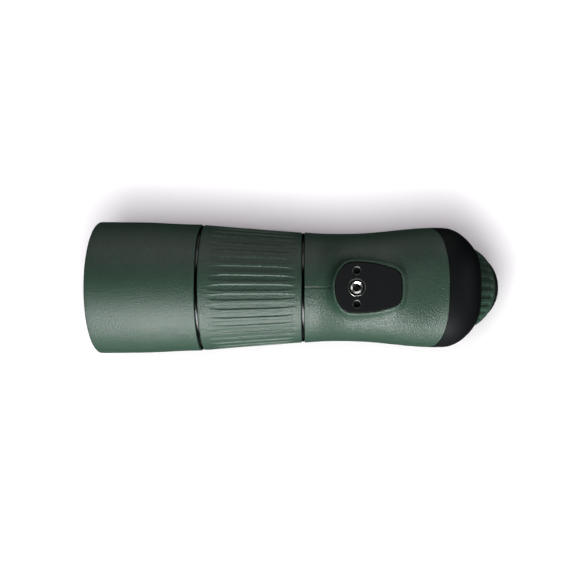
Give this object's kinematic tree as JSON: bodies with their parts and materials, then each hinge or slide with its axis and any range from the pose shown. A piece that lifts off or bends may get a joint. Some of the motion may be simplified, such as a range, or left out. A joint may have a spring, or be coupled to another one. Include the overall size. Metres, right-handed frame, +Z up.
{
  "type": "angled spotting scope",
  "caption": "Compact angled spotting scope with rubber armour, fluted focusing ring, tripod foot, 45 degree zoom eyepiece and twist-up eyecup.",
  "frame": {"origin": "the tripod thread's axis on the foot's flat face", "axes": "+X along the optical axis from the objective to the eyepiece, +Z up, away from the foot's face"},
  "size_m": [0.2559, 0.083, 0.0939],
  "materials": {
    "green_rubber": "fine leather grain, matt",
    "black_rubber": "smooth matt",
    "black_polymer": "fine satin",
    "polished_black": "polished black anodised",
    "cast_metal": "as cast",
    "dark_metal": "black anodised",
    "steel": "turned",
    "glass": "polished, coated"
  },
  "bodies": {
    "scope_body": {"front_armour": "green_rubber", "front_tube": "cast_metal", "objective_cell": "dark_metal", "objective_seal": "black_rubber", "objective_lens_front": "glass", "lens_spacer": "dark_metal", "objective_lens_rear": "glass", "rear_spacer": "dark_metal", "objective_retainer": "dark_metal", "main_barrel": "dark_metal", "front_trim_ring": "polished_black", "rear_trim_ring": "polished_black", "focus_seal_front": "black_rubber", "focus_seal_rear": "black_rubber", "body_housing": "cast_metal", "body_armour": "green_rubber", "foot_block": "cast_metal", "foot_pad": "black_rubber", "thread_insert": "steel", "foot_screw_1": "steel", "foot_screw_2": "steel", "rear_cover": "black_polymer", "prism": "glass", "prism_cradle": "dark_metal", "prism_clamp": "steel", "cradle_screw_1": "steel", "cradle_screw_2": "steel", "eyepiece_barrel": "dark_metal", "eyepiece_base": "dark_metal", "eyepiece_screw_1": "steel", "eyepiece_screw_2": "steel", "eyepiece_screw_3": "steel", "eye_lens": "glass", "eye_lens_spacer": "dark_metal", "eye_lens_retainer": "dark_metal"},
    "focus_ring": {"focus_core": "dark_metal", "focus_grip": "green_rubber"},
    "focus_lens_group": {"focus_cell": "dark_metal", "focus_key": "steel", "focus_lens": "glass", "focus_retainer": "dark_metal"},
    "zoom_ring": {"zoom_core": "dark_metal", "zoom_grip": "green_rubber"},
    "zoom_front_group": {"zoom_front_cell": "dark_metal", "zoom_front_lens": "glass", "zoom_front_pin": "steel"},
    "zoom_rear_group": {"zoom_rear_cell": "dark_metal", "zoom_rear_lens": "glass", "zoom_rear_pin": "steel"},
    "eyecup_slider": {"eyecup_click_ring": "steel"},
    "eyecup": {"eyecup_tube": "dark_metal", "eyecup_pin": "steel", "eyecup_rubber": "black_rubber"}
  },
  "joints": [
    {"name": "focus_turn", "type": "hinge", "parent": "scope_body", "child": "focus_ring", "pos_m": [-0.0625, 0, 0.045], "axis": [1, 0, 0], "range_deg": [0, 300]},
    {"name": "focus_travel", "type": "slide", "parent": "scope_body", "child": "focus_lens_group", "axis": [1, 0, 0], "range_m": [0, 0.012]},
    {"name": "zoom_turn", "type": "hinge", "parent": "scope_body", "child": "zoom_ring", "pos_m": [0.048, 0, 0.045], "axis": [0.7071, 0, 0.7071], "range_deg": [0, 140]},
    {"name": "zoom_front_travel", "type": "slide", "parent": "scope_body", "child": "zoom_front_group", "axis": [0.7071, 0, 0.7071], "range_m": [-0.005, 0]},
    {"name": "zoom_rear_travel", "type": "slide", "parent": "scope_body", "child": "zoom_rear_group", "axis": [0.7071, 0, 0.7071], "range_m": [0, 0.0026]},
    {"name": "eyecup_rise", "type": "slide", "parent": "scope_body", "child": "eyecup_slider", "axis": [0.7071, 0, 0.7071], "range_m": [0, 0.008]},
    {"name": "eyecup_twist", "type": "hinge", "parent": "eyecup_slider", "child": "eyecup", "pos_m": [0.048, 0, 0.045], "axis": [0.7071, 0, 0.7071], "range_deg": [0, 120]}
  ],
  "couplings": [
    {"joint": "focus_travel", "follows": "focus_turn", "m_per_rad": 0.0022918},
    {"joint": "zoom_front_travel", "follows": "zoom_turn", "m_per_rad": -0.0020462},
    {"joint": "zoom_rear_travel", "follows": "zoom_turn", "m_per_rad": 0.001064},
    {"joint": "eyecup_twist", "follows": "eyecup_rise", "rad_per_m": 261.79}
  ]
}
